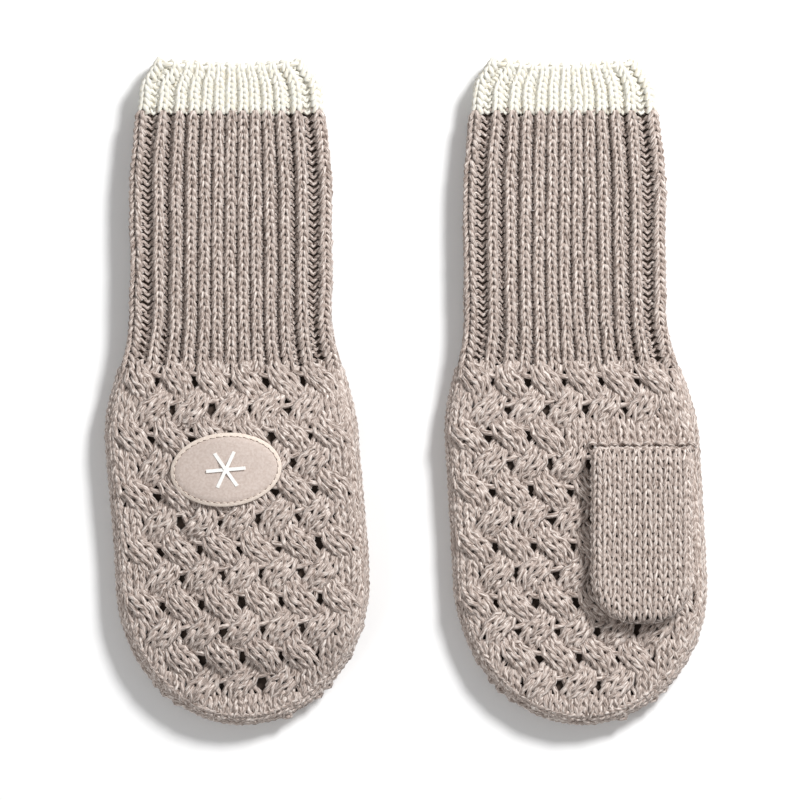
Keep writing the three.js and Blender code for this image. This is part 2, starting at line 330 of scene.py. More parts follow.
def yarn_material(name, dark, middle, light):
    """Wool: light and dark fibres drawn out along the yarn, and two plies twisted together."""
    material = bpy.data.materials.new(name)
    material.use_nodes = True
    tree = material.node_tree
    shader = tree.nodes["Principled BSDF"]
    shader.inputs["Roughness"].default_value = 0.82
    shader.inputs["Specular IOR Level"].default_value = 0.25
    shader.inputs["Sheen Weight"].default_value = 0.25
    shader.inputs["Sheen Roughness"].default_value = 0.5
    mark = tree.nodes.new("ShaderNodeUVMap")
    mark.uv_map = "yarn_length"

    def mapped(along, around):
        node = tree.nodes.new("ShaderNodeMapping")
        node.inputs["Scale"].default_value = (along, around, 1)
        tree.links.new(mark.outputs["UV"], node.inputs["Vector"])
        return node.outputs["Vector"]

    streaks = tree.nodes.new("ShaderNodeTexNoise")
    streaks.inputs["Scale"].default_value = 1
    streaks.inputs["Detail"].default_value = 4
    streaks.inputs["Roughness"].default_value = 0.65
    tree.links.new(mapped(*FIBRE_SCALE), streaks.inputs["Vector"])
    ramp = tree.nodes.new("ShaderNodeValToRGB")
    ramp.color_ramp.elements[0].position = 0.36
    ramp.color_ramp.elements[0].color = tint(*dark)
    ramp.color_ramp.elements[1].position = 0.66
    ramp.color_ramp.elements[1].color = tint(*light)
    ramp.color_ramp.elements.new(0.5).color = tint(*middle)
    tree.links.new(streaks.outputs["Fac"], ramp.inputs["Fac"])
    tree.links.new(ramp.outputs["Color"], shader.inputs["Base Color"])

    plies = tree.nodes.new("ShaderNodeTexWave")
    plies.wave_type = "BANDS"
    plies.bands_direction = "DIAGONAL"
    plies.inputs["Scale"].default_value = 1
    plies.inputs["Distortion"].default_value = 1.2
    plies.inputs["Detail"].default_value = 2
    tree.links.new(mapped(1 / PLY_LENGTH, 2.0), plies.inputs["Vector"])
    height = tree.nodes.new("ShaderNodeMath")
    height.operation = "MULTIPLY_ADD"
    height.inputs[1].default_value = 0.5
    tree.links.new(plies.outputs["Fac"], height.inputs[0])
    tree.links.new(streaks.outputs["Fac"], height.inputs[2])
    bump = tree.nodes.new("ShaderNodeBump")
    bump.inputs["Strength"].default_value = 0.35
    bump.inputs["Distance"].default_value = TWIST_DEPTH * MM
    tree.links.new(height.outputs["Value"], bump.inputs["Height"])
    tree.links.new(bump.outputs["Normal"], shader.inputs["Normal"])
    return material


taupe_wool = yarn_material("taupe_wool", (106, 90, 80), (187, 171, 162), (246, 237, 230))

# The fabric's inner side is a sheet coloured much darker than the wool, as painted shade; it shows only
# through the gaps between the yarns.
painted_shade_inside = bpy.data.materials.new("painted_shade_inside")
painted_shade_inside.use_nodes = True
painted_shade_shader = painted_shade_inside.node_tree.nodes["Principled BSDF"]
painted_shade_shader.inputs["Base Color"].default_value = tint(70, 58, 50)
painted_shade_shader.inputs["Roughness"].default_value = 0.95

RIBS_ROUND = 26
RIB_PITCH, RIB_OPENING = 4.55, 0.0045  # the ribs stand further apart towards the folds
RIB_ROW = 2.2
RIB_YARN = 0.80
PURL_YARN = 0.60
RIB_INSET = 2.8
RIB_DEPTH = 1.0
PLAIN_WIDTH = 3.3
PLAIN_AT = 40.0  # the height where a plain column has just that width
PLAIN_SPREAD, PURL_SPREAD = 0.29, 0.16
LOOP_STEPS = 8
LOOP_REACH = 0.86  # how far a loop reaches into the next row
UNEVEN = 0.05
STRAY = 0.10
WANDER = 0.25
CUFF_WALL = (3.8, 5.0)  # insets of the wall's outer and inner side
WALL_POINTS = 48


def rib_place(k, half):
    """Arc length of plain column k, closest together at the middle of each face."""
    quarter = RIBS_ROUND / 4

    def on_face(n):
        return RIB_PITCH * n + RIB_OPENING * n**4

    k = np.asarray(k, float)
    run = np.abs(k)
    near = on_face(np.minimum(run, quarter)) / on_face(quarter) * half / 2
    far = half - on_face(np.minimum(2 * quarter - run, quarter)) / on_face(quarter) * half / 2
    return np.sign(k) * np.where(run <= quarter, near, far)


def rib_rows(mitten, heights, row_pitch, depth):
    """Closed rows of one-and-one rib at the given heights: paths, normals and yarn thickness."""
    t = 2 * math.pi * np.arange(LOOP_STEPS) / LOOP_STEPS
    ks = np.arange(RIBS_ROUND) - RIBS_ROUND // 2
    paths, normals = [], []
    for number, y in enumerate(heights):
        half = float(half_round(y, RIB_INSET))
        usual = float(half_round(PLAIN_AT, RIB_INSET))
        plain = PLAIN_WIDTH * half / usual
        left = rib_place(ks, half) + STRAY * chance.standard_normal(RIBS_ROUND)
        left = left + WANDER * np.sin(ks * 1.7 + number * 0.13) * np.sin(number * 0.31 + ks)
        left[0] = -half
        right = np.append(left[1:], half)
        starts = np.stack([left - plain / 2, left + plain / 2], -1).ravel()
        ends = np.stack([left + plain / 2, right - plain / 2], -1).ravel()
        width = (ends - starts)[:, None]
        front = np.tile([1, -1], RIBS_ROUND)[:, None]
        spread = np.where(front > 0, PLAIN_SPREAD * width, PURL_SPREAD * width)
        reach = LOOP_REACH * row_pitch * (1 + UNEVEN * chance.standard_normal((len(starts), 1)))
        s = starts[:, None] + width * t / (2 * math.pi) + spread * np.sin(2 * t)
        rise = y + reach * np.cos(t) + STRAY * chance.standard_normal((len(starts), 1))
        lift = front * depth * (1 - np.cos(2 * t))
        place, normal = round_section(mitten, s.ravel(), rise.ravel(), RIB_INSET)
        paths.append(place + normal * lift.reshape(-1, 1))
        normals.append(normal)
    thick = np.repeat(np.tile([RIB_YARN, PURL_YARN], RIBS_ROUND), LOOP_STEPS)
    return np.stack(paths), np.stack(normals), thick[None]


def add_tube_wall(piece, mitten, heights, outer, inner, finish):
    """A tube's wall under the yarn, closed round its rims, so that the tube stays open at both ends."""
    around = WALL_POINTS
    rings = []
    order = [(y, outer) for y in heights] + [(y, inner) for y in heights[::-1]]
    for y, inset in order:
        half = float(half_round(y, inset))
        s = np.linspace(-half, half, around, endpoint=False)
        rings.append(round_section(mitten, s, np.full(around, y), inset)[0])
    rings = np.stack(rings)
    count = len(rings)
    i = np.arange(count)[:, None]
    j = np.arange(around)[None, :]
    a, b = i * around, ((i + 1) % count) * around
    turn = (j + 1) % around
    quads = np.stack([a + j, a + turn, b + turn, b + j], -1).reshape(-1, 4)
    piece.add(mitten.to_world(rings), quads, np.zeros((quads.size, 2)), finish)


def wrist_blend(piece, mitten):
    """Bakes the piece's placement into its mesh; the fabric is not bent at the wrist."""
    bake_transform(piece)


for mitten in MITTENS:
    rows = np.arange(RIB_ROW / 2, CUFF_LENGTH, RIB_ROW)
    path, normal, thick = rib_rows(mitten, rows, RIB_ROW, RIB_DEPTH)
    cuff = Piece()
    cuff.yarn(mitten.to_world(path), normal, thick, closed=True)
    # The cuff's inner wall takes the dark painted-shade colour, seen through the gaps in the rib.
    add_tube_wall(cuff, mitten, np.linspace(-1, CUFF_LENGTH, 24), *CUFF_WALL, finish=1)
    cuff = cuff.finished(f"{mitten.side}_cuff_knit", [taupe_wool, painted_shade_inside])
    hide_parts(f"{mitten.side}_rib_cuff")
    wrist_blend(cuff, mitten)

# ---------------------------------------------------------------- pale bands
# The first rows of each cuff are knitted in undyed wool, in the same rib but flatter. They start from a
# cast-on edge, a thicker yarn that runs once round the opening.
BAND_ROWS = 8
BAND_DEPTH = 0.55
BAND_WALL = (3.5, 4.8)
WALL_BELOW_EDGE = 3.2
FULLER_YARN = 0.08
EDGE_YARN = 0.85
EDGE_BELOW_TOP, EDGE_RIPPLE = 0.75, 0.2
EDGE_LIFT, EDGE_WAVE = 0.45, 0.35
EDGE_DIP = 2.0
cream_wool = yarn_material("cream_wool", (232, 222, 198), (233, 231, 222), (243, 242, 236))


def dipped(mitten, path):
    """The cast-on edge hangs a little lower in the middle of each face than at the two folds."""
    out = path.copy()
    rise = np.maximum(path[..., 1] - CUFF_LENGTH, 0)
    aside = (path[..., 0] - mitten.middle(path[..., 1])) / (OPENING_WIDTH / 2)
    out[..., 1] -= rise * EDGE_DIP / BAND_LENGTH * (1 - np.minimum(aside**2, 1))
    return out


for mitten in MITTENS:
    pitch = BAND_LENGTH / BAND_ROWS
    rows = CUFF_LENGTH + pitch * (np.arange(BAND_ROWS) + 0.5)
    path, normal, thick = rib_rows(mitten, rows, pitch, BAND_DEPTH)
    band = Piece()
    band.yarn(mitten.to_world(dipped(mitten, path)), normal, thick + FULLER_YARN, closed=True)
    half = float(half_round(TOP - 0.8, RIB_INSET))
    s = np.linspace(-half, half, 8 * RIBS_ROUND, endpoint=False)
    wave = math.pi * RIBS_ROUND * s / half
    y = TOP - EDGE_BELOW_TOP + EDGE_RIPPLE * np.sin(wave)
    path, normal = round_section(mitten, s, y, RIB_INSET)
    path = path + normal * (EDGE_LIFT + EDGE_WAVE * np.cos(wave))[:, None]
    band.yarn(mitten.to_world(dipped(mitten, path))[None], normal[None], EDGE_YARN, closed=True)
    heights = np.linspace(CUFF_LENGTH, TOP - WALL_BELOW_EDGE, 8)
    add_tube_wall(band, mitten, heights, *BAND_WALL, finish=0)
    band = band.finished(f"{mitten.side}_band_knit", [cream_wool])
    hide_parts(f"{mitten.side}_cast_on_band")
    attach(band, f"{mitten.side}_cuff")

# ---------------------------------------------------------------- cabled hands
# The back and the palm of each hand are knitted in a basket of two-stitch strands that cross over and
# under each other in every row of crossings, with small holes between them. Beside the last crossing the
# strands run on as plain columns. Both panels are one fabric with the cuff and meet the edge columns.
CABLE_YARN = 0.87
CABLE_INSET = {1: 1.45, -1: 2.2}  # under the upper face, and under the face that lies on the table
CROSS_ROWS = 12
CROSS_PITCH = 8.8
FIRST_CROSS = 0.6
ROW_OVER_THUMB = 2  # this row has no crossings where the thumb is picked up
EDGE_COLUMNS_WIDTH = 3
LANES = 12
LANE = 6.3
LATTICE_SHIFT = -1.5
LATTICE_SLOPE = 0.05
ROWS_IN_CROSS = 3
WALES = 2
CABLE_STEPS = 10
CABLE_REACH, CABLE_SPREAD, CABLE_DEPTH = 0.88, 0.25, 0.45
STRAND_CURVE, STRAND_STRAY = 0.5, 0.5
SWELL, SWELL_UNEVEN, UNDER_SHARE = 1.65, 0.12, 0.9
STRAND_CROWN, HALF_STRAND = 1.3, 4.0
STITCH_SINK = 0.7  # a loop's first and last points go down beside the strand
EDGE_OF_PANEL = 2.4
TOP_OF_PANEL = 3.4
PANEL_RIM = 1.2
LEAST_HEIGHT = 0.02
PATCH_EDGE = (0.92, 1.18)  # the fabric gives way to the patch across this share of its size
PATCH_SINK = 1.35
BACK_SINK, BACK_TOP = 0.35, 2.2
PALM_TOP = 1.2
ROW_SINK, ROW_FADE = 2.0, (0.8, 2.4)
PANEL_WALL = (1.9, 2.9)
WALL_ACROSS, WALL_ROWS = 24, 20
WALL_EDGE, WALL_TIP = 3.2, 3.4


def edge_distance(x, y):
    """Distance in from the outline, and the outline's outward direction, for x from the centre line."""
    a, b = HAND_WIDTH / 2, TIP_LENGTH
    low = np.minimum(y + TIP_START, 0)
    g = np.sqrt((x / a) ** 2 + (low / b) ** 2)
    slope = np.sqrt(x**2 / a**4 + low**2 / b**4)
    tip = (1 - g) * g / np.maximum(slope, 1e-6)
    in_tip = y < -TIP_START
    distance = np.where(in_tip, tip, half_width(y) - np.abs(x))
    out_x = np.where(in_tip, x / a**2 / np.maximum(slope, 1e-6), np.sign(x))
    out_y = np.where(in_tip, low / b**2 / np.maximum(slope, 1e-6), 0)
    return distance, out_x, out_y


def panel_place(mitten, x, y, face, lift):
    """A point of the upper (face 1) or lower (face -1) panel, raised by lift, and its normal."""
    inset = CABLE_INSET[face]
    radius = THICKNESS / 2 - inset
    distance, out_x, out_y = edge_distance(x, y)
    inward = np.clip(distance - inset, 0, radius)
    lean = 1 - inward / radius
    high = np.sqrt(np.maximum(1 - lean**2, LEAST_HEIGHT))
    normal = np.stack([out_x * lean, out_y * lean, face * high], -1)
    normal /= np.linalg.norm(normal, axis=-1, keepdims=True)
    z = THICKNESS / 2 + face * radius * high
    place = np.stack([mitten.middle(y) + x, y, z], -1)
    return place + normal * lift[..., None], normal


def pressed(mitten, place, face, yarn):
    """Yarn lies flat on the table, and sinks in under the patch and under the picked-up row."""
    low, high = mitten.patch_low, mitten.patch_high
    x, y = place[..., 0], place[..., 1] + mitten.wrist
    over = ((x - (low[0] + high[0]) / 2) / (high[0] - low[0]) * 2) ** 2
    over = over + ((y - (low[1] + high[1]) / 2) / (high[1] - low[1]) * 2) ** 2
    under_patch = 1 - smooth(over, *PATCH_EDGE)
    out = place.copy()
    if face < 0:
        lowest = yarn + (PATCH_SINK * under_patch if mitten.palm_up else 0)
        out[..., 2] = np.maximum(out[..., 2], lowest)
    elif not mitten.palm_up:
        top = THICKNESS - BACK_SINK + BACK_TOP * (1 - under_patch)
        out[..., 2] = np.minimum(out[..., 2], top)
    else:
        low, high = mitten.thumb_low, mitten.thumb_high
        beside = np.abs(x - (low[0] + high[0]) / 2) < (high[0] - low[0]) / 2
        near = (1 - smooth(np.abs(y - high[1] - 1.2), *ROW_FADE)) * beside
        out[..., 2] = np.minimum(out[..., 2], THICKNESS + PALM_TOP - ROW_SINK * near)
    return out


def fan(y):
    """The panel's columns stand closer together where the hand narrows to the wrist."""
    rim = EDGE_COLUMNS_WIDTH
    return np.clip((half_width(np.maximum(y, -TIP_START)) - rim) / (HAND_WIDTH / 2 - rim), 0.5, 1)


def crossings(mitten, face):
    """Every stretch of one strand through a row of crossings: row, from lane, to lane, over or not."""
    palm = (face > 0) == mitten.palm_up
    plain_from = mitten.thumb_low[0] - mitten.x - 1.5 if palm else 1e9
    for row in range(CROSS_ROWS + 1):
        y = FIRST_CROSS - CROSS_PITCH * (row + 0.5)
        taken = set()
        for left in range(row % 2, LANES - 1, 2):
            middle = (left + 0.5 - (LANES - 1) / 2) * LANE
            reach = abs(middle) + 0.8 * LANE
            if row == ROW_OVER_THUMB and middle > plain_from:
                continue
            room = edge_distance(np.array(reach * fan(y)), np.array(y))[0]
            if row < CROSS_ROWS and room > PANEL_RIM:
                right_over = row % 2 == 0
                yield row, left, left + 1, right_over
                yield row, left + 1, left, not right_over
                taken |= {left, left + 1}
        for lane in range(LANES):
            if lane not in taken:
                yield row, lane, lane, None


def sloped(mitten, x, y):
    """The right mitten's crossings slope a little across the hand."""
    return y if mitten.palm_up else y + LATTICE_SLOPE * x * smooth(-y, 5, 45)


def cable_stitches(mitten, face):
    """Every stitch of the panel's strands: paths and normals."""
    t = np.linspace(0, 2 * math.pi, CABLE_STEPS + 1)[None]
    paths, normals = [], []
    for row, start, end, over in crossings(mitten, face):
        shift = STRAND_STRAY * chance.standard_normal(2) if over is not None else np.zeros(2)
        strength = 1 + SWELL_UNEVEN * chance.standard_normal()
        j, wale = np.meshgrid(np.arange(ROWS_IN_CROSS), np.arange(WALES), indexing="ij")
        j, wale = j.reshape(-1, 1), wale.reshape(-1, 1)
        step = 1 / ROWS_IN_CROSS
        reach = CABLE_REACH * step * (1 + 0.06 * chance.standard_normal(j.shape))
        q = (j + 0.5) * step - reach * np.cos(t)
        inside = np.clip(q, 0, 1)
        sweep = inside - STRAND_CURVE * np.sin(2 * math.pi * inside) / (2 * math.pi)
        sweep = sweep + (1 - STRAND_CURVE) * (q - inside)
        slope = 1 - STRAND_CURVE * np.cos(2 * math.pi * inside)
        x0 = (start - (LANES - 1) / 2) * LANE + (LATTICE_SHIFT if mitten.palm_up else 0)
        dx = (end - start) * LANE
        run = np.stack([dx * slope, np.full_like(slope, -CROSS_PITCH)], -1)
        run /= np.linalg.norm(run, axis=-1, keepdims=True)
        across = np.stack([-run[..., 1], run[..., 0]], -1)
        bulge = np.sin(math.pi * inside) ** 0.8
        width = LANE / WALES * (0.98 + (0.26 if over else 0.24) * bulge)
        u = (wale - WALES / 2 + t / (2 * math.pi)) * width + CABLE_SPREAD * width * np.sin(2 * t)
        x = x0 + dx * sweep + u * across[..., 0] + shift[0] * bulge
        y = FIRST_CROSS - CROSS_PITCH * (row + q) + u * across[..., 1] + shift[1] * bulge
        x = x + 0.07 * chance.standard_normal(j.shape)
        hump = np.sin(math.pi * inside)
        lift = np.broadcast_to(-CABLE_DEPTH * np.cos(2 * t), q.shape).copy()
        if over is None:
            lift = lift + 0.15
        elif over:
            crown = STRAND_CROWN * hump * (u / HALF_STRAND) ** 2
            lift = lift + SWELL * strength * hump - crown
        else:
            lift = lift - UNDER_SHARE * SWELL * hump - 0.1
        lift[:, :1] -= STITCH_SINK * (wale == 0)
        lift[:, -1:] -= STITCH_SINK * (wale == WALES - 1)
        x = x * fan(y)
        y = sloped(mitten, x, y)
        place, normal = panel_place(mitten, x, y, face, lift)
        place = pressed(mitten, place, face, CABLE_YARN)
        distance = edge_distance(x.mean(1), y.mean(1))[0]
        keep = (distance > EDGE_OF_PANEL) & (y.max(1) < TOP_OF_PANEL)
        paths.append(place[keep])
        normals.append(normal[keep])
    return np.concatenate(paths), np.concatenate(normals)


BRIDGE_HALF, BRIDGE_UP, BRIDGE_STRAY = 3.0, 1.5, 0.6
BRIDGE_TILT, BRIDGE_LIFT, BRIDGE_FALL = 0.5, 0.35, 0.9


def bridges(mitten, face):
    """The yarn that jumps each small hole from one strand to the next."""
    paths, normals = [], []
    over = {}
    for row, start, end, top in crossings(mitten, face):
        if top:
            over.setdefault(row, []).append((start + end) / 2)
    t = np.linspace(-1, 1, 7)
    for row, lanes in over.items():
        lanes.sort()
        for left, right in zip(lanes[:-1], lanes[1:]):
            gap = ((left + right) / 2 - (LANES - 1) / 2) * LANE
            gap += LATTICE_SHIFT if mitten.palm_up else 0
            tilt = BRIDGE_TILT * (1 if row % 2 else -1)
            x = gap + BRIDGE_HALF * t
            y = FIRST_CROSS - CROSS_PITCH * (row + 0.5) + BRIDGE_UP + tilt * t + 0.5 * t**2
            y = y + BRIDGE_STRAY * chance.standard_normal()
            lift = BRIDGE_LIFT - BRIDGE_FALL * t**2
            x = x * fan(y)
            y = sloped(mitten, x, y)
            place, normal = panel_place(mitten, x[None], y[None], face, lift[None])
            paths.append(pressed(mitten, place, face, CABLE_YARN))
            normals.append(normal)
    return np.concatenate(paths), np.concatenate(normals)


def add_panel_wall(piece, mitten, face):
    """The inner side of a panel, a thin closed sheet under the yarn, coloured dark as painted shade."""
    across = WALL_ACROSS
    tip = (TIP_LENGTH - WALL_TIP) * np.sin(np.linspace(0.08, 1.5, WALL_ROWS))
    ys = np.concatenate([np.linspace(1, -TIP_START, WALL_ROWS), -TIP_START - tip])
    sheets = []
    for depth in PANEL_WALL:
        rows = []
        for y in ys:
            wide = max(float(half_width(y)) - WALL_EDGE, 0.5)
            x = np.linspace(-wide, wide, across)
            lift = np.full(across, -depth)
            rows.append(panel_place(mitten, x, np.full(across, y), face, lift)[0])
        sheets.append(np.stack(rows))
    outer, inner = sheets
    n, m = outer.shape[:2]
    ring = np.concatenate([outer, inner[:, ::-1]], 1)
    count = 2 * m
    i = np.arange(n - 1)[:, None]
    j = np.arange(count)[None, :]
    turn = (j + 1) % count
    here, after = i * count, (i + 1) * count
    quads = np.stack([here + j, after + j, after + turn, here + turn], -1).reshape(-1, 4)
    k = np.arange(m - 1)
    top = np.stack([k, k + 1, count - 2 - k, count - 1 - k], -1)
    end = (n - 1) * count
    bottom = np.stack([end + k + 1, end + k, end + count - 1 - k, end + count - 2 - k], -1)
    quads = np.concatenate([quads, top, bottom])
    if face < 0:
        quads = quads[:, ::-1]
    piece.add(mitten.to_world(ring), quads, np.zeros((quads.size, 2)), finish=1)


for mitten in MITTENS:
    for face in (1, -1):
        name = "palm" if (face > 0) == mitten.palm_up else "back"
        panel = Piece()
        path, normal = cable_stitches(mitten, face)
        panel.yarn(mitten.to_world(path), normal, CABLE_YARN, closed=False)
        path, normal = bridges(mitten, face)
        panel.yarn(mitten.to_world(path), normal, CABLE_YARN, closed=False)
        add_panel_wall(panel, mitten, face)
        panel = panel.finished(f"{mitten.side}_{name}_cables", [taupe_wool, painted_shade_inside])
        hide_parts(f"{mitten.side}_hand_{name}")
        wrist_blend(panel, mitten)

# ---------------------------------------------------------------- edge columns
# Four plain columns run down one side of each hand, round the finger end and up the other side. They are
# knitted with the two cabled panels and join them, and lie round the fold of the fabric.
EDGE_WALES = 4
EDGE_TURN = math.radians(132)
EDGE_INSET = 1.25
EDGE_ROW = 2.2
EDGE_SPREAD = 0.26
EDGE_DEPTH = 0.42
EDGE_STRAY = 0.08


def outline(side):
    """Points of the hand's outline from the wrist to the finger end, with outward directions."""
    down = np.linspace(0.5, -TIP_START, 120)
    turn = np.linspace(0, math.pi / 2, 160)[1:]
    x = np.concatenate([half_width(down), HAND_WIDTH / 2 * np.cos(turn)])
    y = np.concatenate([down, -TIP_START - TIP_LENGTH * np.sin(turn)])
    dx, dy = np.gradient(x), np.gradient(y)
    size = np.hypot(dx, dy)
    length = np.concatenate([[0], np.cumsum(np.hypot(np.diff(x), np.diff(y)))])
    return side * x, y, side * -dy / size, dx / size, length


for mitten in MITTENS:
    edge = Piece()
    for side in (-1, 1):
        ox, oy, nx, ny, length = outline(side)
        rows = np.arange(EDGE_ROW / 2, length[-1] + 0.6, EDGE_ROW)
        t = np.linspace(0, 2 * math.pi, LOOP_STEPS + 1)
        wale = np.arange(EDGE_WALES)
        width = EDGE_TURN / EDGE_WALES
        spread = EDGE_SPREAD * width * np.sin(2 * t)
        angle = (wale[:, None] + t / (2 * math.pi)) * width + spread - EDGE_TURN / 2
        angle = np.broadcast_to(angle, (len(rows), EDGE_WALES, len(t)))
        run = rows[:, None, None] - LOOP_REACH * EDGE_ROW * np.cos(t)
        run = run + EDGE_STRAY * chance.standard_normal((len(rows), EDGE_WALES, 1))
        run = np.clip(run, 0, None)
        ox, oy, nx, ny = [np.interp(run, length, values) for values in (ox, oy, nx, ny)]
        stray = EDGE_STRAY * chance.standard_normal((len(rows), EDGE_WALES, 1))
        lift = -EDGE_DEPTH * np.cos(2 * t) + stray
        centre = THICKNESS / 2
        radius = centre - EDGE_INSET + lift
        x = ox + nx * (radius * np.cos(angle) - centre)
        y = oy + ny * (radius * np.cos(angle) - centre)
        z = centre + radius * np.sin(angle)
        place = np.stack([mitten.middle(y) + x, y, z], -1)
        normal = np.stack([nx * np.cos(angle), ny * np.cos(angle), np.sin(angle)], -1)
        place = place.reshape(-1, len(t), 3)
        edge.yarn(mitten.to_world(place), normal.reshape(-1, len(t), 3), CABLE_YARN, closed=False)
    edge = edge.finished(f"{mitten.side}_edge_columns", [taupe_wool])
    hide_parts(f"{mitten.side}_edge_seam")
    wrist_blend(edge, mitten)

# ---------------------------------------------------------------- thumbs
# Each thumb is a flat pouch of plain knitting, worked down from stitches picked up round a slit in the
# palm. It lies on the palm and is joined to it only along its straight upper edge.
THUMB_YARN = 0.74
THUMB_INSET = 1.4
THUMB_ROW = 2.55
FIRST_THUMB_ROW = -2.6
THUMB_WALE = 3.3
THUMB_SPREAD = 0.27
THUMB_REACH = 0.84
THUMB_TIP = 17.0
THUMB_DEPTH = 0.7
THUMB_PULL = 0.5
THUMB_STRAY = 0.08
LEAST_RADIUS, LEAST_THUMB_FLAT = 0.3, 0.05
CORE_INSET = 1.95
CORE_POINTS = 32
CORE_START = -3.2


class Thumb:
    """The pouch's shape, read from the box of its solid; down is the distance from the hinge line."""

    def __init__(self, mitten):
        low, high = mitten.thumb_low, mitten.thumb_high
        self.x, self.z = (low[0] + high[0]) / 2, (low[2] + high[2]) / 2
        self.width, self.high = (high[0] - low[0]) / 2, (high[2] - low[2]) / 2
        self.hinge = high[1] - self.high
        self.length = self.hinge - low[1]

    def size_at(self, down):
        """Half width and half thickness; the pouch closes at both ends and rounds off at its tip."""
        tip = np.clip((down - self.length + THUMB_TIP) / THUMB_TIP, 0, 0.999)
        base = np.clip(-down / self.high, 0, 0.95)
        left = np.clip(1 - (self.length - down) / self.high, 0, 0.98)
        half = self.high * np.sqrt(1 - left**2) * np.sqrt(1 - base**2)
        return (self.width - THUMB_PULL) * (1 - tip**2.5) ** 0.4, half

    def flat_and_radius(self, down, inset):
        wide, half = self.size_at(down)
        radius = np.maximum(half - inset, LEAST_RADIUS)
        return np.maximum(wide - inset - radius, LEAST_THUMB_FLAT), radius

    def ring(self, s, down, inset):
        """Place and outward normal at arc length s round the pouch."""
        flat, radius = self.flat_and_radius(down, inset)
        whole = 2 * flat + math.pi * radius
        s = np.mod(s + whole, 2 * whole) - whole
        side, run = np.sign(s), np.abs(s)
        turn = np.clip((run - flat) / radius, 0, math.pi)
        past = np.clip(run - flat - math.pi * radius, 0, None)
        x = side * (np.minimum(run, flat) - past + radius * np.sin(turn))
        place = np.stack([self.x + x, self.hinge - down, self.z + radius * np.cos(turn)], -1)
        return place, np.stack([side * np.sin(turn), 0 * x, np.cos(turn)], -1)

    def half_round(self, down, inset):
        flat, radius = self.flat_and_radius(down, inset)
        return 2 * flat + math.pi * radius


def wale_place(i, count, half):
    """Arc length of column i of count columns on each face, which adapt to the room at the folds."""
    run = np.abs(np.asarray(i, float))
    edge = count / 2

    def on_face(n):
        return n * THUMB_WALE + (half / 2 - edge * THUMB_WALE) * (n / edge) ** 3

    near = on_face(np.minimum(run, edge))
    far = half - on_face(np.maximum(count - run, 0))
    return np.sign(i) * np.where(run <= edge, near, far)


t = 2 * math.pi * np.arange(LOOP_STEPS) / LOOP_STEPS
for mitten in MITTENS:
    thumb = Thumb(mitten)
    pouch = Piece()
    for down in np.arange(FIRST_THUMB_ROW, thumb.length - 0.4, THUMB_ROW):
        half = float(thumb.half_round(down, THUMB_INSET))
        count = max(int(round(half / THUMB_WALE)), 2)
        count += 1 - count % 2 if half > 12 else 0
        i = np.arange(2 * count) - count + 0.5
        left = wale_place(i - 0.5, count, half)[:, None]
        width = wale_place(i + 0.5, count, half)[:, None] - left
        s = left + width * t / (2 * math.pi) + THUMB_SPREAD * width * np.sin(2 * t)
        reach = THUMB_REACH * THUMB_ROW * (1 + UNEVEN * chance.standard_normal((2 * count, 1)))
        fall = down - reach * np.cos(t) + STRAY * chance.standard_normal((2 * count, 1))
        s = s + THUMB_STRAY * chance.standard_normal((2 * count, 1))
        fall = np.minimum(fall, thumb.length - 0.5)
        place, normal = thumb.ring(s.ravel(), fall.ravel(), THUMB_INSET)
        lift = np.tile(-THUMB_DEPTH * np.cos(2 * t), 2 * count)[:, None]
        pouch.yarn((place + normal * lift)[None], normal[None], THUMB_YARN, closed=True)

    # A closed core inside the pouch stands for its own inner face, coloured dark as painted shade. Its
    # ends are closed strip by strip.
    core = []
    near_tip = thumb.length - np.array([5, 3.2, 2.2])
    for down in np.concatenate([np.linspace(CORE_START, thumb.length - 8, 12), near_tip]):
        half = float(thumb.half_round(down, CORE_INSET))
        s = np.linspace(-half, half, CORE_POINTS, endpoint=False)
        core.append(thumb.ring(s, np.full(CORE_POINTS, down), CORE_INSET)[0])
    core, n = np.stack(core), CORE_POINTS
    i = np.arange(len(core) - 1)[:, None] * n
    j = np.arange(n)[None, :]
    turn = (j + 1) % n
    quads = np.stack([i + n + j, i + n + turn, i + turn, i + j], -1).reshape(-1, 4)
    k, h = np.arange(2, n // 2), n // 2
    strips = np.stack([k, n - k, n + 1 - k, k - 1], -1)
    first = np.concatenate([strips, [[0, 1, n - 1, n - 1], [h - 1, h, h + 1, h + 1]]])
    last = np.concatenate([strips[:, ::-1], [[1, 0, n - 1, n - 1], [h, h - 1, h + 1, h + 1]]])
    first, last = (first + n // 4) % n, (last + n // 4) % n
    quads = np.concatenate([quads, first, last + (len(core) - 1) * n])
    pouch.add(core, quads, np.zeros((quads.size, 2)), finish=1)
    pouch = pouch.finished(f"{mitten.side}_thumb_pouch_knit", [taupe_wool, painted_shade_inside])
    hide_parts(f"{mitten.side}_thumb")
    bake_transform(pouch)

    # The picked-up stitches show as a line of short level loops over the thumb's straight edge.
    row = Piece()
    loops, row_yarn = 10, 0.72
    u = np.linspace(0, loops, loops * 8 + 1)
    x = thumb.x + (u / loops - 0.5) * 2 * (thumb.width + 0.4) + 0.35 * np.sin(2 * math.pi * u)
    wave = np.abs(np.sin(math.pi * u)) ** 0.7
    palm = THICKNESS if mitten.palm_up else 0.0
    out = 1 if mitten.palm_up else -1
    y = thumb.hinge - mitten.wrist + thumb.high + 0.6 + 1.5 * wave + 0.25 * np.sin(2.3 * u)
    z = palm + out * (-1.2 + 3.1 * wave)
    path = mitten.to_world(np.stack([x, y, z], -1))
    normal = np.tile([0.0, 0.5, out], (len(u), 1))
    row.yarn(path[None], normal[None], row_yarn, closed=False)
    row = row.finished(f"{mitten.side}_thumb_picked_up_row", [taupe_wool])
    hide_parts(f"{mitten.side}_thumb_pickup_row")
    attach(row, f"{mitten.side}_hand")

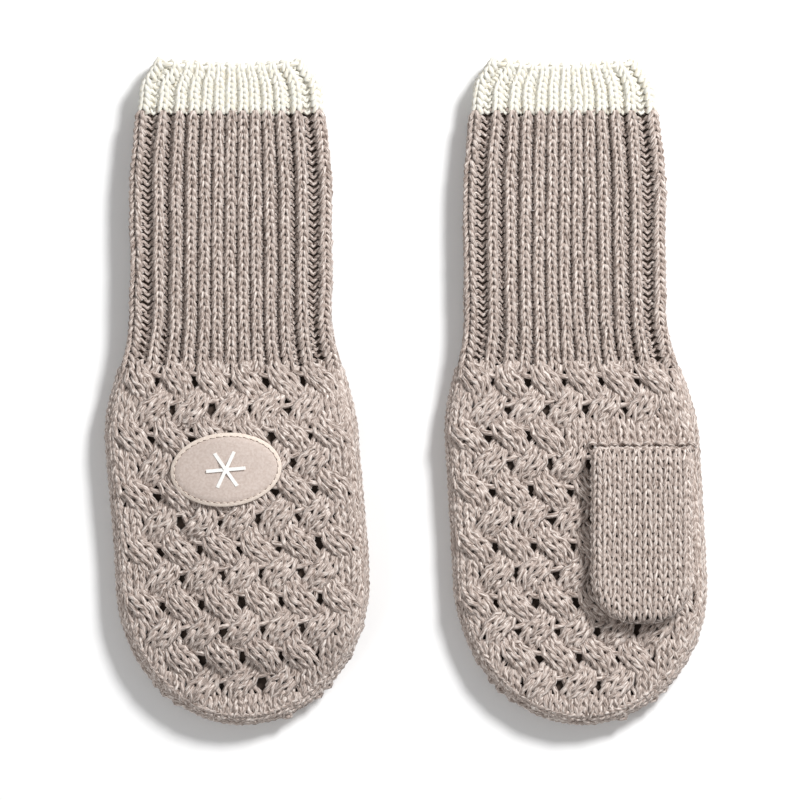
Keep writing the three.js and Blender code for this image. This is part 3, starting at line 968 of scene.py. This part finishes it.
# ---------------------------------------------------------------- sewn patches
# An oval of fine pale cotton is sewn to the back of each hand. Its cut edge is folded under and shows as
# a lighter rim outside the line of stitches. A plain six-armed star is printed on it in white.
PATCH_WIDTH, PATCH_HEIGHT, PATCH_TURN = 35.5, 23.4, 5.0
PATCH_THICKNESS = 0.7
PATCH_CORNERS = 96
PATCH_RISES = (  # how far in each ring lies from the last, and how far up
    (0.25, 0.3), (0.75, 0.1), (0.2, -0.22), (0.2, 0.2), (1.6, 0.12), (2.4, 0.06), (2.4, 0.02),
)
PATCH_LIFT, PATCH_UNDER = 0.95, 1.95  # over the back's own height, and under the hand where it is below
PATCH_RIM, RIM_MARGIN = 1.15, 0.1
STITCHES = 40
THREAD, THREAD_HEIGHT, THREAD_BOW = 0.17, 1.22, 0.16
STITCH_SHARE = 0.72  # the rest of each step is the gap with the needle hole
HOLE_SHARES = (0.74, 0.98)
HOLE, HOLE_HEIGHT = 0.2, 1.24
STAR_WIDTH, STAR_LINE, STAR_THICKNESS, STAR_HEIGHT = 12.6, 1.1, 0.2, 1.60
INK_STEP = 2000  # each arm lies a hair over the last, its angle over this, in millimetres
WEAVE_SCALE = 900
MOTTLE_SCALE = 1400


def cotton(name, dark, light):
    """Fine plain weave: two crossed sets of threads as bump, with a faint mottle of colour."""
    material = bpy.data.materials.new(name)
    material.use_nodes = True
    tree = material.node_tree
    shader = tree.nodes["Principled BSDF"]
    shader.inputs["Roughness"].default_value = 0.8
    place = tree.nodes.new("ShaderNodeTexCoord")
    mottle = tree.nodes.new("ShaderNodeTexNoise")
    mottle.inputs["Scale"].default_value = MOTTLE_SCALE
    mottle.inputs["Detail"].default_value = 3
    ramp = tree.nodes.new("ShaderNodeValToRGB")
    ramp.color_ramp.elements[0].position = 0.35
    ramp.color_ramp.elements[0].color = tint(*dark)
    ramp.color_ramp.elements[1].position = 0.65
    ramp.color_ramp.elements[1].color = tint(*light)
    tree.links.new(place.outputs["Object"], mottle.inputs["Vector"])
    tree.links.new(mottle.outputs["Fac"], ramp.inputs["Fac"])
    tree.links.new(ramp.outputs["Color"], shader.inputs["Base Color"])
    weave = tree.nodes.new("ShaderNodeMath")
    weave.operation = "ADD"
    for number, direction in enumerate(("X", "Y")):
        threads = tree.nodes.new("ShaderNodeTexWave")
        threads.bands_direction = direction
        threads.inputs["Scale"].default_value = WEAVE_SCALE
        threads.inputs["Distortion"].default_value = 0.6
        tree.links.new(place.outputs["Object"], threads.inputs["Vector"])
        tree.links.new(threads.outputs["Fac"], weave.inputs[number])
    bump = tree.nodes.new("ShaderNodeBump")
    bump.inputs["Strength"].default_value = 0.3
    bump.inputs["Distance"].default_value = 0.1 * MM
    tree.links.new(weave.outputs["Value"], bump.inputs["Height"])
    tree.links.new(bump.outputs["Normal"], shader.inputs["Normal"])
    return material


patch_cotton = cotton("patch_cotton", (200, 183, 173), (214, 199, 190))
patch_rim = cotton("patch_rim", (224, 208, 195), (238, 224, 212))
patch_print = cotton("patch_print", (247, 246, 242), (254, 253, 251))
# The needle holes' dark colour is painted shade of the wool below them.
needle_hole_shade = cotton("needle_hole_shade", (112, 92, 80), (128, 108, 96))


def on_patch(mitten, points):
    """From the patch's own plane, its top towards +Z, to the back of the hand."""
    turn = math.radians(PATCH_TURN)
    x = points[:, 0] * math.cos(turn) - points[:, 1] * math.sin(turn)
    y = points[:, 0] * math.sin(turn) + points[:, 1] * math.cos(turn)
    z = points[:, 2]
    z = PATCH_UNDER - z if mitten.palm_up else THICKNESS + z
    x = -x if mitten.palm_up else x
    middle = (mitten.patch_low + mitten.patch_high) / 2
    return mitten.to_world(np.stack([x + middle[0], y + middle[1] - mitten.wrist, z], -1))


def lay_on_patch(mitten, piece, lift):
    """Raises a flat mesh by a lift and lays it on the back of the hand."""
    co = np.array([v.co for v in piece.data.vertices])
    co[:, 2] += lift
    piece.data.vertices.foreach_set("co", (on_patch(mitten, co) * MM).astype(np.float32).ravel())
    piece.data.update()


for mitten in MITTENS:
    bpy.ops.object.select_all(action="DESELECT")
    bpy.ops.mesh.primitive_circle_add(vertices=PATCH_CORNERS, radius=1, fill_type="NGON")
    patch = bpy.context.object
    patch.name = f"{mitten.side}_sewn_patch"
    patch.scale = (PATCH_WIDTH / 2, PATCH_HEIGHT / 2, 1)
    bpy.ops.object.transform_apply(location=False, rotation=False, scale=True)
    bpy.ops.object.mode_set(mode="EDIT")
    bpy.ops.mesh.select_all(action="SELECT")
    for inward, rise in PATCH_RISES:
        bpy.ops.mesh.inset(thickness=inward, depth=0)
        bpy.ops.transform.translate(value=(0, 0, rise))
    bpy.ops.object.mode_set(mode="OBJECT")
    rim_reach = PATCH_RIM - RIM_MARGIN
    for material in (patch_cotton, patch_rim):
        patch.data.materials.append(material)
    for face in patch.data.polygons:
        x = face.center[0] / (PATCH_WIDTH / 2 - rim_reach)
        y = face.center[1] / (PATCH_HEIGHT / 2 - rim_reach)
        face.material_index = 1 if x**2 + y**2 > 1 else 0
    back = patch.modifiers.new("thickness", "SOLIDIFY")
    back.thickness = PATCH_THICKNESS
    back.offset = -1
    bpy.ops.object.modifier_apply(modifier="thickness")
    lay_on_patch(mitten, patch, PATCH_LIFT)
    bpy.ops.object.shade_smooth_by_angle(angle=math.radians(50))
    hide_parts(f"{mitten.side}_patch")
    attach(patch, f"{mitten.side}_hand")

    # Short back stitches lie in the groove inside the rim, each end going down through a needle hole.
    # Each hole is a short dark dash whose colour is painted shade.
    stitches = Piece()
    around = np.linspace(0, 2 * math.pi, 2000)
    ring_x = (PATCH_WIDTH / 2 - PATCH_RIM) * np.cos(around)
    ring_y = (PATCH_HEIGHT / 2 - PATCH_RIM) * np.sin(around)
    run = np.concatenate([[0], np.cumsum(np.hypot(np.diff(ring_x), np.diff(ring_y)))])
    start = np.arange(STITCHES) * run[-1] / STITCHES

    def round_rim(bits, height):
        """Paths of as many points as bits, one in each step round the rim."""
        at = (start[:, None] + bits[None]) % run[-1]
        x, y = np.interp(at, run, ring_x), np.interp(at, run, ring_y)
        points = np.stack([x, y, height + 0 * x], -1)
        return on_patch(mitten, points.reshape(-1, 3)).reshape(points.shape)

    bow = THREAD_HEIGHT + THREAD_BOW * np.sin(np.linspace(0, math.pi, 6))[None]
    path = round_rim(np.linspace(0, STITCH_SHARE * run[-1] / STITCHES, 6), bow)
    up = np.zeros_like(path)
    up[..., 2] = -1 if mitten.palm_up else 1
    stitches.yarn(path, up, THREAD, closed=False)
    path = round_rim(np.linspace(*HOLE_SHARES, 3) * run[-1] / STITCHES, HOLE_HEIGHT)
    stitches.yarn(path, up[:, :3], HOLE, closed=False)
    # The short dashes at the needle holes take the dark painted-shade colour.
    for finish in stitches.finish[2:]:
        finish[:] = 1
    stitches = stitches.finished(f"{mitten.side}_patch_stitches", [patch_rim, needle_hole_shade])
    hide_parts(f"{mitten.side}_patch_stitching")
    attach(stitches, f"{mitten.side}_hand")

    bpy.ops.object.select_all(action="DESELECT")
    arms = []
    for turn in (0, 60, 120):  # three bars cross in one point and make six arms
        angle = (0, 0, math.radians(turn))
        place = (0, 0, turn / INK_STEP)
        bpy.ops.mesh.primitive_cube_add(size=1, location=place, rotation=angle, calc_uvs=False)
        bpy.context.object.scale = (STAR_WIDTH, STAR_LINE, STAR_THICKNESS)
        arms.append(bpy.context.object)
    for arm in arms:
        arm.select_set(True)
    bpy.ops.object.join()
    bpy.ops.object.transform_apply(location=True, rotation=True, scale=True)
    star = bpy.context.object
    star.name = f"{mitten.side}_patch_star"
    rounding = star.modifiers.new("rounding", "BEVEL")
    rounding.width = 0.06
    rounding.segments = 2
    bpy.ops.object.modifier_apply(modifier="rounding")
    lay_on_patch(mitten, star, STAR_HEIGHT)
    star.data.materials.clear()
    star.data.materials.append(patch_print)
    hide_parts(f"{mitten.side}_patch_mark")
    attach(star, f"{mitten.side}_hand")
